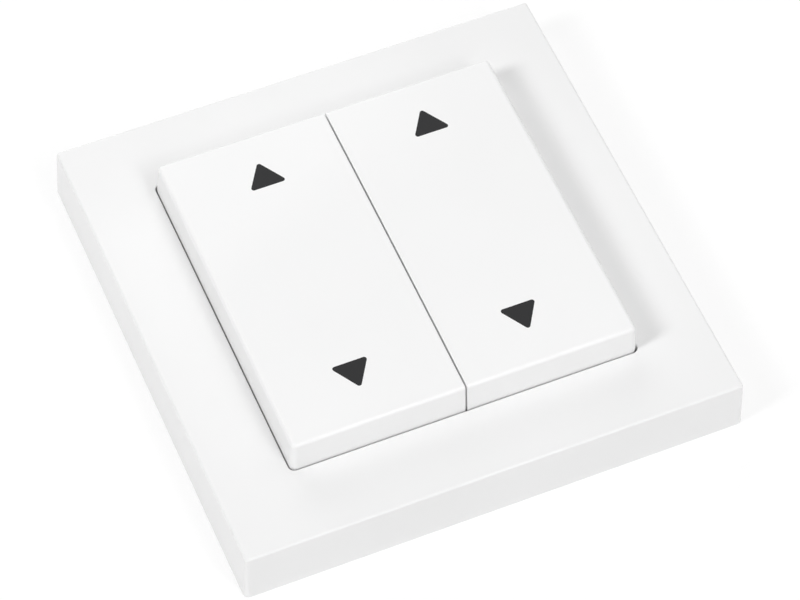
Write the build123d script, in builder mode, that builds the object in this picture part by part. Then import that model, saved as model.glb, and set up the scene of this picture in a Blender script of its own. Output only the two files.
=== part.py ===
"""Radio wall switch with two rockers, each sending one blind up and down.

The switch lies on its back. The origin is the middle of the back, X runs to the right,
Y up the wall and Z out of it. All sizes are in millimetres.
"""

import os
from math import radians, sin, tan

from build123d import *

# Wall plate
plate_gap = 3.0
plate_corner = 4.0
plate_thickness = 1.6
plate_edge = 0.3
screw_inset = 5.0
screw_slot_length = 7.0
screw_slot_width = 3.8
hook_inset = 3.8
hook_width = 6.0
hook_leaf = 1.2
hook_barb = 0.6
hook_rise = 1.2
hook_clearance = 0.1
hook_slot_clearance = 0.2
ridge_width = 1.2
ridge_height = 1.2
ridge_reach = 9.0
pad_length = 36.0
pad_width = 9.0
pad_recess = 0.3
pad_offset = 14.0

# Cover frame
frame_border = 12.1
frame_height = 9.4
frame_draft = 3.0
frame_corner = 0.9
frame_edge = 0.4
frame_wall = 2.0
frame_top = 1.8
opening_corner = 1.0
opening_edge = 0.2
collar_wall = 1.4
ledge_width = 2.0
ledge_thickness = 1.0
frame_rib = 1.2
frame_rib_offset = 14.0
frame_rib_gap = 0.6

# Radio module
module_side = 50.6
module_gap = 0.6
module_corner = 2.0
module_wall = 1.4
module_floor = 1.0
module_top = 1.0
module_edge = 0.5
flange_height = 3.6
flange_thickness = 0.8
flange_gap = 0.4
boss_radius = 3.0
boss_gap = 0.3
boss_spigot = 2.0
boss_floor = 0.4
column_radius = 2.7
pilot_radius = 1.0
screw_core = 0.97
screw_clearance = 1.2
screw_head_radius = 1.9
screw_head_height = 1.1
screw_head_edge = 0.35
screw_seat_radius = 2.1
screw_seat_depth = 1.3
screw_length = 4.2
recess_width = 0.5
recess_length = 2.2
recess_depth = 0.5

# Circuit board and what is on it
board_gap = 0.5
board_corner = 1.0
board_thickness = 1.0
board_clearance = 0.15
joint_above_board = 0.1
component_room = 1.3
chip_side = 5.0
chip_height = 0.9
chip_y = 5.5
crystal_length = 3.2
crystal_width = 2.5
crystal_height = 0.8
crystal_y = -1.0
antenna_length = 9.0
antenna_width = 2.0
antenna_height = 1.1
antenna_inset = 2.4
led_length = 2.0
led_width = 1.25
led_height = 0.7
led_inset = 6.4
window_radius = 1.2
window_flange = 1.8
window_flange_height = 0.4
fit_clearance = 0.05
capacitor_length = 2.0
capacitor_width = 1.25
capacitor_height = 0.9
capacitor_pitch_x = 3.0
capacitor_pitch_y = 1.7
capacitor_y = 10.05
resistor_length = 1.6
resistor_width = 0.8
resistor_height = 0.45
resistor_pitch = 2.0
resistor_y = -5.0
switch_side = 4.5
switch_height = 1.2
switch_inset = 9.4
button_radius = 0.9
button_travel = 0.3
button_hold = 0.5
button_recess = 0.2
button_hole = 1.4

# Coin cell and its contacts
cell_radius = 10.0
cell_thickness = 3.2
cell_step = 0.9
cell_lid_step = 1.3
cell_edge = 0.4
cell_gap = 0.15
cell_clearance = 0.3
cup_wall = 1.0
contact_room = 0.55
strip = 0.2
strip_touch = 0.03
clip_width = 4.0
clip_foot = 3.0
clip_slot_clearance = 0.5
leaf_width = 5.0
leaf_half = 5.0
leaf_foot = 2.5

# Silicone mats
mat_gap = 0.2
mat_inset = 2.2
mat_corner = 2.0
mat_thickness = 0.8
dome_side_room = 4.4
dome_end_room = 4.2
dome_foot = 3.6
dome_head = 2.3
dome_skirt = 1.7
dome_wall = 0.6
dome_height = 2.4
pill_radius = 1.3
pill_gap = 0.7
dome_hole = 3.9
clamp_rib = 0.6
mat_clearance = 0.05

# Rockers
rocker_gap = 0.15
rocker_corner = 1.1
rocker_draft = 4.2
rocker_edge = 0.65
rocker_crown = 0.2
rocker_wall = 1.3
rocker_top = 1.6
rocker_headroom = 0.5
split_gap = 0.25
split_edge = 0.15
split_wall = 1.2
rocker_tilt = 2.5
stop_clearance = 0.25
pivot_height = 2.0
pin_radius = 1.1
pin_clearance = 0.05
pin_length = 1.9
pin_chamfer = 0.2
post_thickness = 1.5
post_width = 3.8
post_inset = 1.5
centre_post = 2.0
lug_play = 0.15
lug_radius = 2.6
lug_drop = 1.5
lug_thickness = 2.2
lug_mouth = 1.7
lug_clearance = 0.5
plunger_radius = 1.8
plunger_gap = 0.05
rib_thickness = 1.0
rib_depth = 1.5
rib_y = 8.5

# Arrow inlays
arrow_width = 5.4
arrow_height = 4.45
arrow_corner = 0.4
arrow_depth = 0.3
arrow_side_inset = 14.31
arrow_up_inset = 8.12
arrow_down_inset = 8.75
arrow_up_shift = 0.38
arrow_down_shift = -0.79

# Widths across, from the module outwards
opening_side = module_side + 2 * (module_gap + ledge_width)
collar_side = opening_side + 2 * collar_wall
frame_side = opening_side + 2 * frame_border
plate_side = frame_side - 2 * (frame_wall + plate_gap)
screw_spacing = plate_side - 2 * screw_inset
rocker_side = opening_side - 2 * rocker_gap
flange_side = opening_side - 2 * flange_gap
module_inside = module_side - 2 * module_wall
module_inner_corner = module_corner - module_wall
hook_inner = module_side / 2 - hook_inset - hook_leaf / 2
hook_outer = hook_inner + hook_leaf
board_side = module_inside - 2 * board_gap
cell_lid_radius = cell_radius - cell_lid_step
boss_spacing = module_inside - 2 * (boss_radius + boss_gap)
mat_width = 2 * dome_side_room
mat_length = board_side - 2 * mat_inset
dome_x = boss_spacing / 2 - column_radius - mat_gap - dome_side_room
dome_y = mat_length / 2 - dome_end_room
antenna_x = antenna_inset - board_side / 2
led_y = board_side / 2 - led_inset
switch_y = switch_inset - board_side / 2
bore_radius = pin_radius + pin_clearance
post_face = module_side / 2 - post_inset
centre_face = centre_post / 2
bore_end = post_face + pin_length + lug_play
arrow_x = rocker_side / 2 - arrow_side_inset
arrow_up_y = rocker_side / 2 - arrow_up_inset
arrow_down_y = arrow_down_inset - rocker_side / 2

# Heights, from the wall outwards
floor_top = plate_thickness + module_floor
ledge_top = plate_thickness + flange_height
flange_top = ledge_top + flange_thickness
cell_bottom = plate_thickness + cell_gap
cell_top = cell_bottom + cell_thickness
board_bottom = cell_top + contact_room
board_top = board_bottom + board_thickness
module_joint = board_top + joint_above_board
cover_ceiling = board_top + component_room
cover_top = cover_ceiling + module_top
pivot_z = cover_top + pivot_height
rocker_ceiling = pivot_z + post_width / 2 + rocker_headroom
rocker_rim = rocker_ceiling + rocker_top
overall_height = rocker_rim + rocker_crown
edge_travel = rocker_side / 2 * sin(radians(rocker_tilt))
skirt_foot = flange_top + edge_travel + stop_clearance
split_skirt_foot = cover_top + edge_travel + stop_clearance
dome_top = board_top + mat_thickness + dome_height
plunger_foot = dome_top + plunger_gap
screw_seat = cover_top - screw_seat_depth

# Middles of a rocker's two long walls, where its ribs end
split_wall_middle = (split_gap + split_wall) / 2
ceiling_side = rocker_side - 2 * (rocker_ceiling - skirt_foot) * tan(radians(rocker_draft))
side_wall_middle = (ceiling_side - rocker_wall) / 2

UPRIGHT = (Align.CENTER, Align.CENTER, Align.MIN)
HANGING = (Align.CENTER, Align.CENTER, Align.MAX)


def block(low, high, mode=Mode.ADD):
    """A box between two corners."""
    size = [b - a for a, b in zip(low, high)]
    with Locations(low):
        return Box(*size, align=(Align.MIN, Align.MIN, Align.MIN), mode=mode)


def span(side, near, far):
    """The two ends, in order, of a stretch of X at these distances from the split."""
    return sorted((side * near, side * far))


def snap_hook():
    """One of the wall plate's hooks, the one on the right."""
    catch = floor_top + hook_clearance
    with BuildPart() as hook:
        with BuildSketch(Plane.XZ):
            with BuildLine():
                Polyline(
                    (hook_inner, plate_thickness),
                    (hook_inner, catch + hook_rise),
                    (hook_outer, catch + hook_rise),
                    (hook_outer + hook_barb, catch),
                    (hook_outer, catch),
                    (hook_outer, plate_thickness),
                    close=True,
                )
            make_face()
        extrude(amount=hook_width / 2, both=True)
    return hook.part


def make_wall_plate():
    hook = snap_hook()
    slots = [(screw_spacing / 2, 0, 0), (-screw_spacing / 2, 0, 0)]
    slots += [(0, screw_spacing / 2, 90), (0, -screw_spacing / 2, 90)]
    ridge_inside = module_side + 2 * hook_clearance
    ridge_outside = ridge_inside + 2 * ridge_width
    with BuildPart() as wall_plate:
        with BuildSketch():
            RectangleRounded(plate_side, plate_side, plate_corner)
        extrude(amount=plate_thickness)
        fillet(wall_plate.faces().sort_by(Axis.Z)[-1].edges(), plate_edge)
        with BuildSketch():
            for x, y, turn in slots:
                with Locations(Location((x, y), turn)):
                    SlotOverall(screw_slot_length, screw_slot_width)
        extrude(amount=plate_thickness, mode=Mode.SUBTRACT)
        # shallow recesses in the back for adhesive pads
        with BuildSketch():
            with GridLocations(0, 2 * pad_offset, 1, 2):
                Rectangle(pad_length, pad_width)
        extrude(amount=pad_recess, mode=Mode.SUBTRACT)
        # corner ridges that centre the module
        with BuildSketch(Plane.XY.offset(plate_thickness)):
            Rectangle(ridge_outside, ridge_outside)
            RectangleRounded(ridge_inside, ridge_inside, module_corner, mode=Mode.SUBTRACT)
            Rectangle(ridge_outside, ridge_outside - 2 * ridge_reach, mode=Mode.SUBTRACT)
            Rectangle(ridge_outside - 2 * ridge_reach, ridge_outside, mode=Mode.SUBTRACT)
        extrude(amount=ridge_height)
        # four snap hooks that reach through the module's floor
        with PolarLocations(0, 4):
            add(hook)
    return wall_plate


def make_cover_frame():
    ledge_inside = opening_side - 2 * ledge_width
    collar_foot = ledge_top - ledge_thickness
    hollow_side = frame_side - 2 * frame_wall
    hollow_top = frame_height - frame_top
    rib_foot = plate_thickness + frame_rib_gap
    rib_inner = (collar_side - collar_wall) / 2
    rib_outer = (frame_side - frame_wall) / 2
    with BuildPart() as cover_frame:
        with BuildSketch():
            RectangleRounded(frame_side, frame_side, frame_corner)
        extrude(amount=frame_height, taper=frame_draft)
        fillet(cover_frame.faces().sort_by(Axis.Z)[-1].edges(), frame_edge)
        # hollow back, with the collar of the opening left standing in it
        with BuildSketch():
            Rectangle(hollow_side, hollow_side)
        extrude(amount=hollow_top, mode=Mode.SUBTRACT)
        with BuildSketch(Plane.XY.offset(collar_foot)):
            RectangleRounded(collar_side, collar_side, opening_corner + collar_wall)
        extrude(amount=hollow_top - collar_foot)
        # ribs between the collar and the outer wall
        with BuildSketch(Plane.XY.offset(rib_foot)):
            with PolarLocations((rib_inner + rib_outer) / 2, 4):
                with GridLocations(0, 2 * frame_rib_offset, 1, 2):
                    Rectangle(rib_outer - rib_inner, frame_rib)
        extrude(amount=hollow_top - rib_foot)
        # the opening, down to the ledge that the module's flange holds
        with BuildSketch(Plane.XY.offset(ledge_top)):
            RectangleRounded(opening_side, opening_side, opening_corner)
        extrude(amount=frame_height - ledge_top, mode=Mode.SUBTRACT)
        with BuildSketch():
            RectangleRounded(ledge_inside, ledge_inside, module_corner)
        extrude(amount=ledge_top, mode=Mode.SUBTRACT)
        rim = cover_frame.faces().sort_by(Axis.Z)[-1].inner_wires()[0]
        fillet(rim.edges(), opening_edge)
    return cover_frame


def make_module_base():
    pocket_radius = cell_radius + cell_clearance
    clip_slot = clip_width / 2 + clip_slot_clearance
    pilot_foot = floor_top + boss_floor
    slot_depth = hook_leaf + 2 * hook_slot_clearance
    slot_width = hook_width + 2 * hook_slot_clearance
    with BuildPart() as module_base:
        with BuildSketch(Plane.XY.offset(plate_thickness)):
            RectangleRounded(module_side, module_side, module_corner)
        extrude(amount=module_joint - plate_thickness)
        with BuildSketch(Plane.XY.offset(ledge_top)):
            RectangleRounded(flange_side, flange_side, opening_corner)
        extrude(amount=flange_thickness)
        with BuildSketch(Plane.XY.offset(floor_top)):
            RectangleRounded(module_inside, module_inside, module_inner_corner)
        extrude(amount=module_joint - floor_top, mode=Mode.SUBTRACT)
        # battery pocket, open at the back, with a slot for the clip
        with Locations((0, 0, floor_top)):
            Cylinder(pocket_radius + cup_wall, cell_top - floor_top, align=UPRIGHT)
        with Locations((0, 0, plate_thickness)):
            Cylinder(pocket_radius, cell_top - plate_thickness, align=UPRIGHT, mode=Mode.SUBTRACT)
        low = (0, -clip_slot, plate_thickness)
        high = (pocket_radius + cup_wall, clip_slot, cell_top)
        block(low, high, Mode.SUBTRACT)
        # bosses that carry the board and take the screws
        with GridLocations(boss_spacing, boss_spacing, 2, 2):
            with Locations((0, 0, floor_top)):
                Cylinder(boss_radius, board_bottom - floor_top, align=UPRIGHT)
                Cylinder(boss_spigot, module_joint - floor_top, align=UPRIGHT)
            with Locations((0, 0, pilot_foot)):
                pilot_depth = module_joint - pilot_foot
                Cylinder(pilot_radius, pilot_depth, align=UPRIGHT, mode=Mode.SUBTRACT)
        # slots that the wall plate's hooks snap through
        with BuildSketch(Plane.XY.offset(plate_thickness)):
            with PolarLocations((hook_inner + hook_outer) / 2, 4):
                Rectangle(slot_depth, slot_width)
        extrude(amount=module_floor, mode=Mode.SUBTRACT)
    return module_base


def make_module_cover():
    clamp_foot = board_top + mat_thickness + mat_clearance
    with BuildPart() as module_cover:
        with BuildSketch(Plane.XY.offset(module_joint)):
            RectangleRounded(module_side, module_side, module_corner)
        extrude(amount=cover_top - module_joint)
        fillet(module_cover.faces().sort_by(Axis.Z)[-1].edges(), module_edge)
        with BuildSketch(Plane.XY.offset(module_joint)):
            RectangleRounded(module_inside, module_inside, module_inner_corner)
        extrude(amount=cover_ceiling - module_joint, mode=Mode.SUBTRACT)
        with GridLocations(boss_spacing, boss_spacing, 2, 2):
            with Locations((0, 0, module_joint)):
                Cylinder(column_radius, cover_ceiling - module_joint, align=UPRIGHT)
        with Locations((0, 0, cover_top)):
            with GridLocations(boss_spacing, boss_spacing, 2, 2):
                CounterBoreHole(screw_clearance, screw_seat_radius, screw_seat_depth)
        # ribs that clamp the mats round each dome, and the holes for the domes
        with BuildSketch(Plane.XY.offset(clamp_foot)):
            with GridLocations(2 * dome_x, 2 * dome_y, 2, 2):
                Circle(dome_hole + clamp_rib)
        extrude(amount=cover_ceiling - clamp_foot)
        with BuildSketch(Plane.XY.offset(clamp_foot)):
            with GridLocations(2 * dome_x, 2 * dome_y, 2, 2):
                Circle(dome_hole)
            with Locations((0, led_y)):
                Circle(window_radius + fit_clearance)
            with Locations((0, switch_y)):
                Circle(button_hole)
        extrude(amount=cover_top - clamp_foot, mode=Mode.SUBTRACT)
        # pivot posts: one in the middle for both rockers and one at each side
        posts = [(-centre_face, centre_post)]
        posts += [(post_face - post_thickness, post_thickness), (-post_face, post_thickness)]
        for start, thickness in posts:
            with BuildSketch(Plane.YZ.offset(start)):
                with Locations((0, cover_top)):
                    Rectangle(post_width, pivot_height, align=(Align.CENTER, Align.MIN))
                with Locations((0, pivot_z)):
                    Circle(post_width / 2)
            extrude(amount=thickness)
        for face in (centre_face, post_face):
            for side in (1, -1):
                with BuildSketch(Plane.YZ.offset(side * face)):
                    with Locations((0, pivot_z)):
                        Circle(pin_radius)
                extrude(amount=side * pin_length)
                ends = module_cover.faces(Select.LAST).filter_by(Plane.YZ)
                tip = ends.sort_by(Axis.X, reverse=side < 0)[-1]
                chamfer(tip.edges(), pin_chamfer)
    return module_cover


def make_module_screws():
    with BuildPart() as module_screws:
        with GridLocations(boss_spacing, boss_spacing, 2, 2):
            with Locations((0, 0, screw_seat)):
                Cylinder(screw_head_radius, screw_head_height, align=UPRIGHT)
                Cylinder(screw_core, screw_length, align=HANGING)
        chamfer(module_screws.edges().group_by(Axis.Z)[-1], screw_head_edge)
        with GridLocations(boss_spacing, boss_spacing, 2, 2):
            with Locations((0, 0, screw_seat + screw_head_height)):
                for size in ((recess_length, recess_width), (recess_width, recess_length)):
                    Box(*size, recess_depth, align=HANGING, mode=Mode.SUBTRACT)
    return module_screws


def make_circuit_board():
    with BuildPart() as circuit_board:
        with BuildSketch(Plane.XY.offset(board_bottom)):
            RectangleRounded(board_side, board_side, board_corner)
            with GridLocations(boss_spacing, boss_spacing, 2, 2):
                Circle(boss_spigot + board_clearance, mode=Mode.SUBTRACT)
        extrude(amount=board_thickness)
    return circuit_board


def make_coin_cell():
    with BuildPart() as coin_cell:
        with Locations((0, 0, cell_bottom)):
            Cylinder(cell_radius, cell_thickness - cell_step, align=UPRIGHT)
        chamfer(coin_cell.edges().filter_by(GeomType.CIRCLE), cell_edge)
        with Locations((0, 0, cell_top)):
            Cylinder(cell_lid_radius, cell_step, align=HANGING)
    return coin_cell


def make_battery_clip_plus():
    leaf_x = cell_radius + strip_touch + strip / 2
    foot_z = board_bottom - strip / 2
    with BuildPart() as battery_clip_plus:
        with BuildSketch(Plane.XZ):
            with BuildLine():
                Polyline(
                    (leaf_x + clip_foot, foot_z),
                    (leaf_x, foot_z),
                    (leaf_x, cell_bottom + strip),
                )
            trace(line_width=strip)
        extrude(amount=clip_width / 2, both=True)
    return battery_clip_plus


def make_battery_contact_minus():
    foot_z = board_bottom - strip / 2
    touch_z = cell_top + strip_touch + strip / 2
    with BuildPart() as battery_contact_minus:
        with BuildSketch(Plane.XZ):
            with BuildLine():
                Polyline(
                    (-leaf_half - leaf_foot, foot_z),
                    (-leaf_half, foot_z),
                    (0, touch_z),
                    (leaf_half, foot_z - strip / 2),
                )
            trace(line_width=strip)
        extrude(amount=leaf_width / 2, both=True)
    return battery_contact_minus


def make_components(length, width, height, middle, pitch=(0, 0), count=(1, 1)):
    """Components of one size that stand on the board in a grid about a point."""
    with BuildPart() as components:
        with Locations((*middle, board_top)):
            with GridLocations(*pitch, *count):
                Box(length, width, height, align=UPRIGHT)
    return components


def make_pairing_switch():
    bore_depth = button_hold + button_travel + fit_clearance
    with BuildPart() as pairing_switch:
        with Locations((0, switch_y, board_top)):
            Box(switch_side, switch_side, switch_height, align=UPRIGHT)
        with Locations((0, switch_y, board_top + switch_height)):
            bore = button_radius + fit_clearance
            Cylinder(bore, bore_depth, align=HANGING, mode=Mode.SUBTRACT)
    return pairing_switch


def make_pairing_button():
    foot = board_top + switch_height - button_hold
    with BuildPart() as pairing_button:
        with Locations((0, switch_y, foot)):
            Cylinder(button_radius, cover_top - button_recess - foot, align=UPRIGHT)
    return pairing_button


def make_led_window():
    with BuildPart() as led_window:
        with Locations((0, led_y, cover_ceiling)):
            Cylinder(window_radius, module_top, align=UPRIGHT)
            Cylinder(window_flange, window_flange_height, align=HANGING)
    return led_window


def make_contact_mat(side):
    web_top = board_top + mat_thickness
    slope = (dome_foot - dome_head) / dome_skirt
    cavity_rise = dome_skirt - dome_wall
    cavity_foot = dome_foot - dome_wall
    cavity_head = cavity_foot - slope * cavity_rise
    pill_length = mat_thickness + cavity_rise - pill_gap
    with BuildPart() as contact_mat:
        with BuildSketch(Plane.XY.offset(board_top)):
            with Locations((side * dome_x, 0)):
                RectangleRounded(mat_width, mat_length, mat_corner)
        extrude(amount=mat_thickness)
        for y in (dome_y, -dome_y):
            middle = (side * dome_x, y)
            with Locations((*middle, web_top)):
                Cone(dome_foot, dome_head, dome_skirt, align=UPRIGHT)
            with Locations((*middle, web_top + dome_skirt)):
                Cylinder(dome_head, dome_height - dome_skirt, align=UPRIGHT)
            with Locations((*middle, board_top)):
                Cylinder(cavity_foot, mat_thickness, align=UPRIGHT, mode=Mode.SUBTRACT)
            with Locations((*middle, web_top)):
                Cone(cavity_foot, cavity_head, cavity_rise, align=UPRIGHT, mode=Mode.SUBTRACT)
            with Locations((*middle, board_top + pill_gap)):
                Cylinder(pill_radius, pill_length, align=UPRIGHT)
    return contact_mat


def rocker_form(side):
    """The outer form of one rocker: drafted sides, a slightly crowned top and soft edges.

    It is widest level with the frame's top, and the skirt draws in below so that it can swing.
    """
    half = rocker_side / 2
    with BuildPart() as form:
        with BuildSketch(Plane.XY.offset(frame_height)) as waist:
            RectangleRounded(rocker_side, rocker_side, rocker_corner)
        extrude(amount=overall_height - frame_height, taper=rocker_draft)
        extrude(waist.sketch, amount=skirt_foot - frame_height, taper=rocker_draft)
        with BuildSketch(Plane.YZ):
            with BuildLine():
                ThreePointArc((-half, rocker_rim), (0, overall_height), (half, rocker_rim))
                Polyline((half, rocker_rim), (half, 0), (-half, 0), (-half, rocker_rim))
            make_face()
        extrude(amount=half, both=True, mode=Mode.INTERSECT)
        keep = Keep.TOP if side > 0 else Keep.BOTTOM
        split(bisect_by=Plane.YZ.offset(side * split_gap / 2), keep=keep)
        top_edges = form.faces().sort_by(Axis.Z)[-1].edges()
        fillet([e for e in top_edges if abs(e.center().X) > split_gap], rocker_edge)
        top_edges = form.faces().sort_by(Axis.Z)[-1].edges()
        fillet([e for e in top_edges if abs(e.center().X) < split_gap], split_edge)
    return form.part


def rocker_hollow(side):
    """The space under one rocker, inside a full skirt and a shorter one at the split."""
    inside = rocker_side - 2 * rocker_wall
    with BuildPart() as hollow:
        with BuildSketch(Plane.XY.offset(skirt_foot)):
            Rectangle(inside, inside)
        extrude(amount=rocker_ceiling - skirt_foot, taper=rocker_draft)
        low, high = span(side, -inside / 2, split_gap / 2 + split_wall)
        corners = (low, -inside / 2, split_skirt_foot), (high, inside / 2, rocker_ceiling)
        block(*corners, Mode.SUBTRACT)
    return hollow.part


def arrow_sketches(side):
    """The two arrows of one rocker: up at its upper end, down at its lower end."""
    half = arrow_width / 2 - arrow_corner
    rise = arrow_height / 2 - arrow_corner
    sketches = []
    placings = ((arrow_up_y, arrow_up_shift, 0), (arrow_down_y, arrow_down_shift, 180))
    for y, shift, turn in placings:
        with BuildSketch(Plane.XY.offset(rocker_rim - arrow_depth)) as arrow:
            with Locations(Location((side * arrow_x + shift, y), turn)):
                Polygon((-half, -rise), (half, -rise), (0, rise), align=None)
            offset(amount=arrow_corner)
        sketches.append(arrow.sketch)
    return sketches


def make_rocker(side):
    form = rocker_form(side)
    hollow = rocker_hollow(side)
    arrows = arrow_sketches(side)
    post_room = lug_radius + lug_clearance
    rib_foot = rocker_ceiling - rib_depth
    lug_face = centre_face + lug_play
    lug_height = rocker_ceiling - pivot_z
    lug_foot = pivot_z - lug_drop
    with BuildPart() as rocker:
        add(form)
        add(hollow, mode=Mode.SUBTRACT)
        # room in the split skirt for the middle post
        low, high = span(side, 0, split_gap / 2 + split_wall)
        corners = (low, -post_room, split_skirt_foot), (high, post_room, rocker_ceiling)
        block(*corners, Mode.SUBTRACT)
        # ribs under the top, four across and one along
        low, high = span(side, split_wall_middle, side_wall_middle)
        for y in (rib_y, -rib_y, dome_y, -dome_y):
            near, far = y - rib_thickness / 2, y + rib_thickness / 2
            block((low, near, rib_foot), (high, far, rocker_ceiling))
        with Locations((side * dome_x, 0, rocker_ceiling)):
            Box(rib_thickness, 2 * side_wall_middle, rib_depth, align=HANGING)
        # plungers that rest on the domes
        for y in (dome_y, -dome_y):
            with Locations((side * dome_x, y, plunger_foot)):
                Cylinder(plunger_radius, rocker_ceiling - plunger_foot, align=UPRIGHT)
        # lugs with the snap bearings, the outer one closed at its end
        lugs = [(span(side, lug_face, lug_face + lug_thickness), True)]
        lugs += [(span(side, post_face + lug_play, bore_end), True)]
        lugs += [(span(side, bore_end, side_wall_middle), False)]
        for (low, high), bored in lugs:
            with BuildSketch(Plane.YZ.offset(low)):
                with Locations((0, pivot_z)):
                    Circle(lug_radius)
                    Rectangle(2 * lug_radius, lug_height, align=(Align.CENTER, Align.MIN))
                    if bored:
                        mouth = (Align.CENTER, Align.MAX)
                        Circle(bore_radius, mode=Mode.SUBTRACT)
                        Rectangle(lug_mouth, lug_radius, align=mouth, mode=Mode.SUBTRACT)
                with Locations((0, lug_foot)):
                    below = (Align.CENTER, Align.MAX)
                    Rectangle(2 * lug_radius, lug_radius, align=below, mode=Mode.SUBTRACT)
            extrude(amount=high - low)
        # pockets of the arrow inlays
        for arrow in arrows:
            extrude(arrow, amount=rocker_crown + arrow_depth, mode=Mode.SUBTRACT)
    return rocker


def make_arrows(side):
    form = rocker_form(side)
    sketches = arrow_sketches(side)
    with BuildPart() as arrows:
        for arrow in sketches:
            extrude(arrow, amount=rocker_crown + arrow_depth)
        add(form, mode=Mode.INTERSECT)
    return arrows


pieces = {
    "wall_plate": make_wall_plate(),
    "cover_frame": make_cover_frame(),
    "module_base": make_module_base(),
    "module_cover": make_module_cover(),
    "module_screws": make_module_screws(),
    "circuit_board": make_circuit_board(),
    "coin_cell": make_coin_cell(),
    "battery_clip_plus": make_battery_clip_plus(),
    "battery_contact_minus": make_battery_contact_minus(),
    "radio_chip": make_components(chip_side, chip_side, chip_height, (0, chip_y)),
    "crystal": make_components(crystal_length, crystal_width, crystal_height, (0, crystal_y)),
    "chip_antenna": make_components(antenna_width, antenna_length, antenna_height, (antenna_x, 0)),
    "status_led": make_components(led_length, led_width, led_height, (0, led_y)),
    "led_window": make_led_window(),
    "capacitors": make_components(
        capacitor_length,
        capacitor_width,
        capacitor_height,
        (0, capacitor_y),
        (capacitor_pitch_x, capacitor_pitch_y),
        (2, 2),
    ),
    "resistors": make_components(
        resistor_width,
        resistor_length,
        resistor_height,
        (0, resistor_y),
        (resistor_pitch, resistor_pitch),
        (3, 2),
    ),
    "pairing_switch": make_pairing_switch(),
    "pairing_button": make_pairing_button(),
    "contact_mat_left": make_contact_mat(-1),
    "contact_mat_right": make_contact_mat(1),
    "rocker_left": make_rocker(-1),
    "rocker_right": make_rocker(1),
    "arrows_left": make_arrows(-1),
    "arrows_right": make_arrows(1),
}

os.makedirs("parts", exist_ok=True)
for name, piece in pieces.items():
    piece.part.label = name
    export_step(piece.part, f"parts/{name}.step")
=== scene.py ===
"""Looks of the radio wall switch: moulded white plastic, dark arrow inlays, and what is inside."""

import math

import bpy
from mathutils import Euler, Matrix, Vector


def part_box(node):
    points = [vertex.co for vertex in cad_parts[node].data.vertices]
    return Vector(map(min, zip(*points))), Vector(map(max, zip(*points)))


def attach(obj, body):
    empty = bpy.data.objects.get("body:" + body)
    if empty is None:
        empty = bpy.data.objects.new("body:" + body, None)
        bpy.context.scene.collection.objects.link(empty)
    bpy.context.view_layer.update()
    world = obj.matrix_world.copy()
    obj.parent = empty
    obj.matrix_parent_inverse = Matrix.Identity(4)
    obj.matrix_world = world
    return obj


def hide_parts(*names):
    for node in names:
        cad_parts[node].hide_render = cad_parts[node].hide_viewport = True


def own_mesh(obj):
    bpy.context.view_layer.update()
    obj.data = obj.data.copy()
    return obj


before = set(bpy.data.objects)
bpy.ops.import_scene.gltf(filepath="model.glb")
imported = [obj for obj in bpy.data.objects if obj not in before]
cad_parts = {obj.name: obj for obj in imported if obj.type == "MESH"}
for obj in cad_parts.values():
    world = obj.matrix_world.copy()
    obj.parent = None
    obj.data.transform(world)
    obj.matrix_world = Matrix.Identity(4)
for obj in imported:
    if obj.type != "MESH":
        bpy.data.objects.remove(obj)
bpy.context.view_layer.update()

MM = 0.001

# Camera, fitted to the edges in the photograph. The lens and the sensor are in millimetres.
CAMERA_PLACE = Vector((-133.52, -301.60, 473.73)) * MM
CAMERA_TARGET = Vector((-1.40, -5.96, 9.4)) * MM
CAMERA_ROLL = math.radians(1.405)
CAMERA_LENS = 170.29
SENSOR_WIDTH = 36.0
CLIP_START = 0.01

# Lamps: azimuth and elevation in degrees, distance and diameter in metres, power in watts.
# Azimuth 0 is in front of the switch and 90 is on its right.
FAR = 1.0
NEAR = 0.45
SMALL_DISC = 0.246
MIDDLE_DISC = 0.3
LARGE_DISC = 0.93
LAMPS = {
    "key": (-80, 41, FAR, SMALL_DISC, 2.66),
    "key_high": (-80, 50, FAR, SMALL_DISC, 1.46),
    "front": (20, 43, FAR, SMALL_DISC, 1.35),
    "front_high": (20, 57, FAR, SMALL_DISC, 0.95),
    "front_low": (0, 20, FAR, LARGE_DISC, 2.0),
    "back_low": (180, 20, FAR, LARGE_DISC, 2.6),
    "near_back": (180, 40, NEAR, MIDDLE_DISC, 0.25),
    "right": (90, 55, FAR, LARGE_DISC, 2.17),
}
WORLD_STRENGTH = 0.19

# Floor
FLOOR_SIDE = 4.0
FLOOR_COLOUR = 0.9
FLOOR_GLOW = 1.08
FLOOR_GLOW_SHARE = 0.65

# Colours of the pieces
FRAME_WHITE = (0.885, 0.885, 0.885)
ROCKER_WHITE = (0.915, 0.915, 0.915)
HOUSING_WHITE = (0.80, 0.81, 0.81)
ARROW_BLACK = (0.022, 0.022, 0.023)
BUTTON_GREY = (0.42, 0.43, 0.44)
CHIP_BLACK = (0.022, 0.022, 0.024)
CERAMIC = (0.62, 0.57, 0.46)
SILICONE = (0.58, 0.6, 0.62)
LED_YELLOW = (0.85, 0.82, 0.55)
CLEAR = (0.93, 0.95, 0.96)
NICKEL = (0.7, 0.67, 0.61)
ZINC = (0.66, 0.68, 0.71)
STEEL = (0.72, 0.71, 0.68)
TIN = (0.78, 0.77, 0.74)
CAPACITOR_BROWN = (0.5, 0.38, 0.24)
RESISTOR_BLACK = (0.02, 0.02, 0.022)
SOLDER_MASK = (0.02, 0.17, 0.07)
MASK_OVER_COPPER = (0.05, 0.27, 0.12)
LAMINATE = (0.42, 0.38, 0.2)

# Specular level of the satin whites and of the matt arrows
SATIN = 0.25
MATT = 0.15

# Sizes of the textures, in millimetres
FLOW_SIZE = 26
GLOSS_SIZE = 9
GRAIN_SIZE = 0.3
SPECKLE_SIZE = 0.15
SPECKLE_RELIEF = 0.01
STREAK_WIDTH = 0.08
STAIN_SIZE = 3.0
RING_SPACING = 0.12

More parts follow.
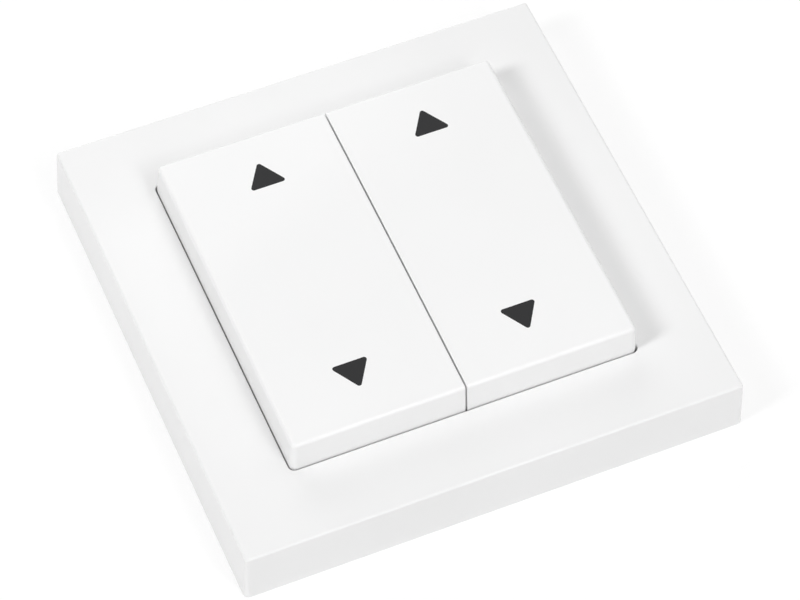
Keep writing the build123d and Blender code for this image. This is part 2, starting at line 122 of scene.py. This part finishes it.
# Darkest and lightest shade of a colour, as factors
MOULDED_SHADES = (0.99, 1.01)
STAINED_SHADES = (0.93, 1.03)
BODY_SHADES = (0.9, 1.1)
TIN_SHADES = (0.9, 1.05)

# Smoothest and roughest place of a finish, as factors of its roughness
MOULDED_GLOSS = (0.9, 1.1)
STREAK_GLOSS = (0.75, 1.35)
RING_GLOSS = (0.8, 1.2)

# A wave texture of scale 1 has this many crests in one unit, and a third of it is above the level
CRESTS_PER_UNIT = 20 / math.tau
LINE_LEVEL = 0.75

# A surface is steep where the height of its normal is below this
STEEP = 0.5

# Circuit board, with sizes in millimetres
TRACK_PITCH = 0.9
TRACK_RELIEF = 0.03
TRACK_BLOCK = 6.5
TURNED_BLOCKS = 0.5
BARE_BLOCKS = 0.4
VIA_PITCH = 3.2
VIA_RADIUS = 0.35

# Chips in two rows on the board, in millimetres
CAPACITOR_LENGTH = 2.0
CAPACITOR_CAP = 0.35
RESISTOR_LENGTH = 1.6
RESISTOR_CAP = 0.28


def direction(azimuth, elevation):
    """Unit vector towards a point seen at these angles, with azimuth 0 on the side of -Y."""
    a = math.radians(azimuth)
    e = math.radians(elevation)
    return Vector((math.sin(a) * math.cos(e), -math.cos(a) * math.cos(e), math.sin(e)))


def make_camera():
    """The camera of the photograph."""
    data = bpy.data.cameras.new("camera")
    data.sensor_width = SENSOR_WIDTH
    data.lens = CAMERA_LENS
    data.clip_start = CLIP_START
    camera = bpy.data.objects.new("camera", data)
    back = CAMERA_PLACE - CAMERA_TARGET
    facing = back.to_track_quat("Z", "Y").to_matrix().to_4x4()
    camera.matrix_world = facing @ Euler((0, 0, CAMERA_ROLL)).to_matrix().to_4x4()
    camera.location = CAMERA_PLACE
    bpy.context.scene.collection.objects.link(camera)
    bpy.context.scene.camera = camera


def make_lamp(name, azimuth, elevation, distance, size, power):
    """A round area lamp that faces the switch."""
    data = bpy.data.lights.new(name, "AREA")
    data.shape = "DISK"
    data.size = size
    data.energy = power
    lamp = bpy.data.objects.new(name, data)
    towards = direction(azimuth, elevation)
    lamp.location = towards * distance
    lamp.rotation_euler = towards.to_track_quat("Z", "Y").to_euler()
    bpy.context.scene.collection.objects.link(lamp)


def background_rays(nodes, links):
    """1 for rays that show the background: the camera's, reflected ones and those through glass."""
    path = nodes.new("ShaderNodeLightPath")
    seen = path.outputs["Is Camera Ray"]
    for kind in ("Is Glossy Ray", "Is Transmission Ray"):
        either = nodes.new("ShaderNodeMath")
        either.operation = "MAXIMUM"
        links.new(seen, either.inputs[0])
        links.new(path.outputs[kind], either.inputs[1])
        seen = either.outputs[0]
    return seen


def make_world():
    """Dim even light, seen as white where it is the background."""
    world = bpy.data.worlds.new("world")
    bpy.context.scene.world = world
    world.use_nodes = True
    nodes = world.node_tree.nodes
    links = world.node_tree.links
    light = nodes["Background"]
    light.inputs["Strength"].default_value = WORLD_STRENGTH
    light.inputs["Color"].default_value = (1, 1, 1, 1)
    white = nodes.new("ShaderNodeBackground")
    white.inputs["Color"].default_value = (1, 1, 1, 1)
    mix = nodes.new("ShaderNodeMixShader")
    links.new(background_rays(nodes, links), mix.inputs["Fac"])
    links.new(light.outputs[0], mix.inputs[1])
    links.new(white.outputs[0], mix.inputs[2])
    links.new(mix.outputs[0], nodes["World Output"].inputs["Surface"])


def floor_finish():
    """Near-white diffuse floor that shows white to the camera and keeps a soft shadow."""
    material = bpy.data.materials.new("floor")
    material.use_nodes = True
    nodes = material.node_tree.nodes
    links = material.node_tree.links
    nodes.remove(nodes["Principled BSDF"])
    diffuse = nodes.new("ShaderNodeBsdfDiffuse")
    diffuse.inputs["Color"].default_value = (FLOOR_COLOUR, FLOOR_COLOUR, FLOOR_COLOUR, 1)
    glow = nodes.new("ShaderNodeEmission")
    glow.inputs["Strength"].default_value = FLOOR_GLOW
    share = nodes.new("ShaderNodeMath")
    share.operation = "MULTIPLY"
    links.new(background_rays(nodes, links), share.inputs[0])
    share.inputs[1].default_value = FLOOR_GLOW_SHARE
    mix = nodes.new("ShaderNodeMixShader")
    links.new(share.outputs[0], mix.inputs["Fac"])
    links.new(diffuse.outputs[0], mix.inputs[1])
    links.new(glow.outputs[0], mix.inputs[2])
    links.new(mix.outputs[0], nodes["Material Output"].inputs["Surface"])
    return material


def make_floor():
    """The square plane that the switch lies on."""
    mesh = bpy.data.meshes.new("floor")
    reach = FLOOR_SIDE / 2
    corners = [(-reach, -reach, 0), (reach, -reach, 0), (reach, reach, 0), (-reach, reach, 0)]
    mesh.from_pydata(corners, [], [(0, 1, 2, 3)])
    mesh.materials.append(floor_finish())
    floor = bpy.data.objects.new("floor", mesh)
    bpy.context.scene.collection.objects.link(floor)


def shade(colour, factor):
    """The colour, lighter or darker by a factor."""
    return tuple(min(1.0, c * factor) for c in colour)


class Finish:
    """A material in the making: one Principled shader and the textures that feed it."""

    def __init__(self, name, roughness, **sockets):
        """Other sockets are given by name, with underscores for spaces."""
        self.material = bpy.data.materials.new(name)
        self.material.use_nodes = True
        self.nodes = self.material.node_tree.nodes
        self.links = self.material.node_tree.links
        self.shader = self.nodes["Principled BSDF"]
        self.shader.inputs["Roughness"].default_value = roughness
        for socket, value in sockets.items():
            self.shader.inputs[socket.replace("_", " ")].default_value = value
        self.place = self.nodes.new("ShaderNodeTexCoord").outputs["Object"]

    def feed(self, output, socket):
        """Links a node's output to a socket of the shader."""
        self.links.new(output, self.shader.inputs[socket])

    def stretched(self, *factors):
        """The object's own space, with what is laid in it this many times longer on each axis."""
        mapping = self.nodes.new("ShaderNodeMapping")
        mapping.vector_type = "TEXTURE"
        mapping.inputs["Scale"].default_value = factors
        self.links.new(self.place, mapping.inputs["Vector"])
        return mapping.outputs["Vector"]

    def noise(self, size, detail=2.0, space=None):
        """Noise whose lumps are about this many millimetres across."""
        texture = self.nodes.new("ShaderNodeTexNoise")
        texture.inputs["Scale"].default_value = 1 / (size * MM)
        texture.inputs["Detail"].default_value = detail
        self.links.new(space or self.place, texture.inputs["Vector"])
        return texture.outputs["Fac"]

    def wave(self, spacing, distortion=0.0):
        """A wave texture whose crests are this many millimetres apart."""
        texture = self.nodes.new("ShaderNodeTexWave")
        texture.inputs["Scale"].default_value = 1 / (CRESTS_PER_UNIT * spacing * MM)
        texture.inputs["Distortion"].default_value = distortion
        self.links.new(self.place, texture.inputs["Vector"])
        return texture

    def rings(self, spacing):
        """Turned rings about the Z axis."""
        texture = self.wave(spacing, distortion=1.5)
        texture.wave_type = "RINGS"
        texture.rings_direction = "Z"
        return texture.outputs["Fac"]

    def lines(self, axis, spacing):
        """Sharp straight lines across one axis, a third of the spacing wide."""
        texture = self.wave(spacing)
        texture.bands_direction = axis
        return self.math_node("GREATER_THAN", texture.outputs["Fac"], LINE_LEVEL)

    def cells(self, size, metric="EUCLIDEAN"):
        """Cells about this many millimetres across."""
        texture = self.nodes.new("ShaderNodeTexVoronoi")
        texture.distance = metric
        texture.inputs["Scale"].default_value = 1 / (size * MM)
        self.links.new(self.place, texture.inputs["Vector"])
        return texture

    def along(self, axis):
        """The place along one axis of the object, in metres."""
        split = self.nodes.new("ShaderNodeSeparateXYZ")
        self.links.new(self.place, split.inputs["Vector"])
        return split.outputs[axis]

    def upright(self):
        """1 where the surface is steep and 0 where it lies flat."""
        geometry = self.nodes.new("ShaderNodeNewGeometry")
        normal = self.nodes.new("ShaderNodeSeparateXYZ")
        self.links.new(geometry.outputs["Normal"], normal.inputs["Vector"])
        flatness = self.math_node("ABSOLUTE", normal.outputs["Z"])
        return self.math_node("LESS_THAN", flatness, STEEP)

    def math_node(self, operation, first, second=None):
        """One math node, whose inputs are numbers or other nodes' outputs."""
        node = self.nodes.new("ShaderNodeMath")
        node.operation = operation
        for socket, value in zip(node.inputs, (first, second)):
            if isinstance(value, (int, float)):
                socket.default_value = value
            elif value is not None:
                self.links.new(value, socket)
        return node.outputs[0]

    def distance(self, first, second):
        """How far apart two places on one axis are."""
        return self.math_node("ABSOLUTE", self.math_node("SUBTRACT", first, second))

    def ranged(self, value, low, high, start=0.3, end=0.7):
        """The value carried from start and end, between which noise lies, to low and high."""
        remap = self.nodes.new("ShaderNodeMapRange")
        ends = (start, end, low, high)
        for socket, number in zip(("From Min", "From Max", "To Min", "To Max"), ends):
            remap.inputs[socket].default_value = number
        self.links.new(value, remap.inputs["Value"])
        return remap.outputs["Result"]

    def mixed(self, factor, first, second):
        """Mix of two colours, each a triple or another node's output."""
        mix = self.nodes.new("ShaderNodeMix")
        mix.data_type = "RGBA"
        self.links.new(factor, mix.inputs["Factor"])
        colour_sockets = [s for s in mix.inputs if s.type == "RGBA"]
        for socket, colour in zip(colour_sockets, (first, second)):
            if isinstance(colour, tuple):
                socket.default_value = (*colour, 1)
            else:
                self.links.new(colour, socket)
        return next(s for s in mix.outputs if s.type == "RGBA")

    def shaded(self, factor, colour, shades):
        """The colour, between two shades of it."""
        darkest, lightest = shades
        return self.mixed(factor, shade(colour, darkest), shade(colour, lightest))

    def glossed(self, factor, roughness, gloss, **ends):
        """Feeds the shader a roughness between two factors of it."""
        smoothest, roughest = gloss
        wandering = self.ranged(factor, roughness * smoothest, roughness * roughest, **ends)
        self.feed(wandering, "Roughness")

    def relief(self, height, depth):
        """Bump of this depth in millimetres."""
        bump = self.nodes.new("ShaderNodeBump")
        bump.inputs["Distance"].default_value = depth * MM
        self.links.new(height, bump.inputs["Height"])
        self.feed(bump.outputs["Normal"], "Normal")


def moulded(name, colour, roughness, grain=GRAIN_SIZE, depth=0.0, **sockets):
    """Injection-moulded plastic: a faint drift of tone, a slightly uneven gloss and maybe a grain."""
    finish = Finish(name, roughness, **sockets)
    flow = finish.ranged(finish.noise(FLOW_SIZE, detail=1.5), 0, 1)
    finish.feed(finish.shaded(flow, colour, MOULDED_SHADES), "Base Color")
    finish.glossed(finish.noise(GLOSS_SIZE, detail=3.0), roughness, MOULDED_GLOSS)
    if depth:
        finish.relief(finish.noise(grain), depth)
    return finish.material


def bare_metal(name, colour, roughness):
    """Metal with faint stains, the base of the finishes below."""
    finish = Finish(name, roughness, Metallic=1.0)
    stains = finish.ranged(finish.noise(STAIN_SIZE, detail=3.0), 0, 1)
    finish.feed(finish.shaded(stains, colour, STAINED_SHADES), "Base Color")
    return finish


def drawn_metal(name, colour, roughness, stretch, depth):
    """Metal with drawn streaks, given by how far each axis is stretched."""
    finish = bare_metal(name, colour, roughness)
    streaks = finish.noise(STREAK_WIDTH, detail=3.0, space=finish.stretched(*stretch))
    finish.glossed(streaks, roughness, STREAK_GLOSS)
    finish.relief(streaks, depth)
    return finish.material


def turned_metal(name, colour, roughness, depth):
    """Metal with fine turned rings about the Z axis."""
    finish = bare_metal(name, colour, roughness)
    rings = finish.rings(RING_SPACING)
    finish.glossed(rings, roughness, RING_GLOSS, start=0, end=1)
    finish.relief(rings, depth)
    return finish.material


def chips(name, node, axis, length, cap, colour, roughness):
    """Two rows of chips that lie along one axis, with a tinned cap on each end."""
    low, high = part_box(node)
    index = "XYZ".index(axis)
    middle = (low[index] + high[index]) / 2
    half_pitch = (high[index] - low[index] - length * MM) / 2
    finish = Finish(name, roughness)
    from_middle = finish.distance(finish.along(axis), middle)
    from_chip = finish.distance(from_middle, half_pitch)
    on_cap = finish.math_node("GREATER_THAN", from_chip, (length / 2 - cap) * MM)
    speckle = finish.ranged(finish.noise(SPECKLE_SIZE), 0, 1)
    body = finish.shaded(speckle, colour, BODY_SHADES)
    tin = finish.shaded(speckle, TIN, TIN_SHADES)
    finish.feed(finish.mixed(on_cap, body, tin), "Base Color")
    finish.feed(on_cap, "Metallic")
    finish.relief(speckle, SPECKLE_RELIEF)
    return finish.material


def board():
    """Green solder mask over blocks of copper tracks, with tinned vias and a bare laminate edge."""
    finish = Finish("board", 0.35)
    blocks = finish.nodes.new("ShaderNodeSeparateColor")
    finish.links.new(finish.cells(TRACK_BLOCK, "CHEBYCHEV").outputs["Color"], blocks.inputs["Color"])
    turned = finish.math_node("GREATER_THAN", blocks.outputs["Red"], TURNED_BLOCKS)
    routed = finish.math_node("GREATER_THAN", blocks.outputs["Green"], BARE_BLOCKS)
    runs = finish.mixed(turned, finish.lines("X", TRACK_PITCH), finish.lines("Y", TRACK_PITCH))
    track = finish.math_node("MULTIPLY", routed, runs)
    mask = finish.mixed(track, SOLDER_MASK, MASK_OVER_COPPER)
    from_via = finish.cells(VIA_PITCH).outputs["Distance"]
    via = finish.math_node("LESS_THAN", from_via, VIA_RADIUS / VIA_PITCH)
    face = finish.mixed(via, mask, TIN)
    finish.feed(finish.mixed(finish.upright(), face, LAMINATE), "Base Color")
    finish.relief(track, TRACK_RELIEF)
    return finish.material


def dress(material, *names):
    """Gives the nodes of these names the material."""
    for name in names:
        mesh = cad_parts[name].data
        mesh.materials.clear()
        mesh.materials.append(material)


def silicone_mat(side):
    """A contact mat as a piece of its own on the switch body, in place of the rigid solid, which is
    hidden.
    """
    node = f"contact_mat_{side}"
    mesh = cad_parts[node].data.copy()
    mat = bpy.data.objects.new(f"silicone_{node}", mesh)
    bpy.context.scene.collection.objects.link(mat)
    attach(mat, "switch")
    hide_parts(node)
    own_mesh(mat)


make_camera()
make_world()
for lamp_name, values in LAMPS.items():
    make_lamp(lamp_name, *values)
bpy.context.scene.view_settings.view_transform = "Standard"

# What shows from outside
frame_white = moulded("frame_white", FRAME_WHITE, roughness=0.15, Specular_IOR_Level=SATIN)
dress(frame_white, "cover_frame")
rocker_white = moulded("rocker_white", ROCKER_WHITE, roughness=0.12, Specular_IOR_Level=SATIN)
dress(rocker_white, "rocker_left", "rocker_right")
arrow_dark = moulded("arrow_dark", ARROW_BLACK, roughness=0.5, Specular_IOR_Level=MATT)
dress(arrow_dark, "arrows_left", "arrows_right")

# Other mouldings
housing = moulded("housing", HOUSING_WHITE, roughness=0.42, depth=0.004)
dress(housing, "wall_plate", "module_base", "module_cover")
button = moulded("button", BUTTON_GREY, roughness=0.4, depth=0.003)
dress(button, "pairing_button")
black_plastic = moulded("black_plastic", CHIP_BLACK, roughness=0.45, depth=0.004)
dress(black_plastic, "pairing_switch", "radio_chip")
ceramic = moulded("ceramic", CERAMIC, roughness=0.55, grain=0.12, depth=0.006)
dress(ceramic, "chip_antenna")
soft = {"Subsurface_Weight": 0.4, "Subsurface_Scale": 0.002}
silicone = moulded("silicone", SILICONE, roughness=0.5, depth=0.002, **soft)
dress(silicone, "contact_mat_left", "contact_mat_right")
led_lens = moulded("led_lens", LED_YELLOW, roughness=0.15, Transmission_Weight=0.3)
dress(led_lens, "status_led")
clear_plastic = moulded("clear_plastic", CLEAR, roughness=0.06, Transmission_Weight=1.0)
dress(clear_plastic, "led_window")

# Metals and the board
nickel = drawn_metal("nickel", NICKEL, roughness=0.3, stretch=(12, 1, 1), depth=0.002)
dress(nickel, "battery_clip_plus", "battery_contact_minus", "crystal")
zinc = drawn_metal("zinc", ZINC, roughness=0.35, stretch=(1, 1, 1), depth=0.003)
dress(zinc, "module_screws")
cell_steel = turned_metal("cell_steel", STEEL, roughness=0.28, depth=0.001)
dress(cell_steel, "coin_cell")
capacitor = chips("capacitor", "capacitors", "X", CAPACITOR_LENGTH, CAPACITOR_CAP, CAPACITOR_BROWN, 0.4)
dress(capacitor, "capacitors")
resistor = chips("resistor", "resistors", "Y", RESISTOR_LENGTH, RESISTOR_CAP, RESISTOR_BLACK, 0.35)
dress(resistor, "resistors")
dress(board(), "circuit_board")

silicone_mat("left")
silicone_mat("right")
make_floor()
